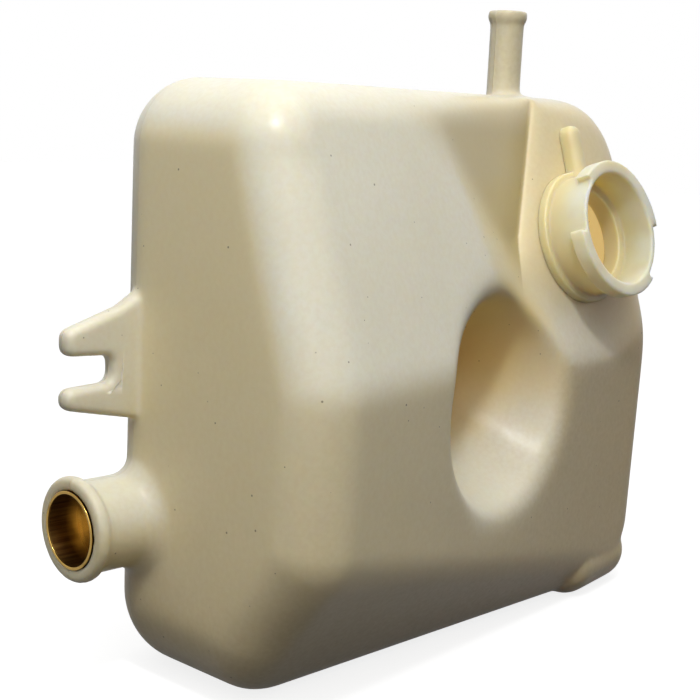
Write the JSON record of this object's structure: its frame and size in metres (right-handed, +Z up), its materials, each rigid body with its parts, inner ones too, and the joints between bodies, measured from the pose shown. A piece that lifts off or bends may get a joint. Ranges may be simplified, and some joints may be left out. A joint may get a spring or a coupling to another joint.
{
  "type": "coolant expansion tank",
  "caption": "Blow-moulded plastic coolant expansion tank with a recessed bayonet filler neck, vent pipe, side outlet with a brass sleeve, forked lug and a conical dimple.",
  "frame": {"origin": "on the outlet spigot's axis, where it meets the tank's left wall in the moulding's parting plane", "axes": "+X along the front from the outlet's wall to the filler's end, -Y out of the front, +Z up along the vent pipe"},
  "size_m": [0.3398, 0.1316, 0.305],
  "materials": {
    "tank_body": "satin natural plastic, slightly translucent",
    "filler_neck": "semi-gloss natural plastic",
    "outlet_sleeve": "drawn brass"
  },
  "bodies": {
    "root": {"tank_body": "tank_body", "filler_neck": "filler_neck", "outlet_sleeve": "outlet_sleeve"}
  },
  "joints": []
}
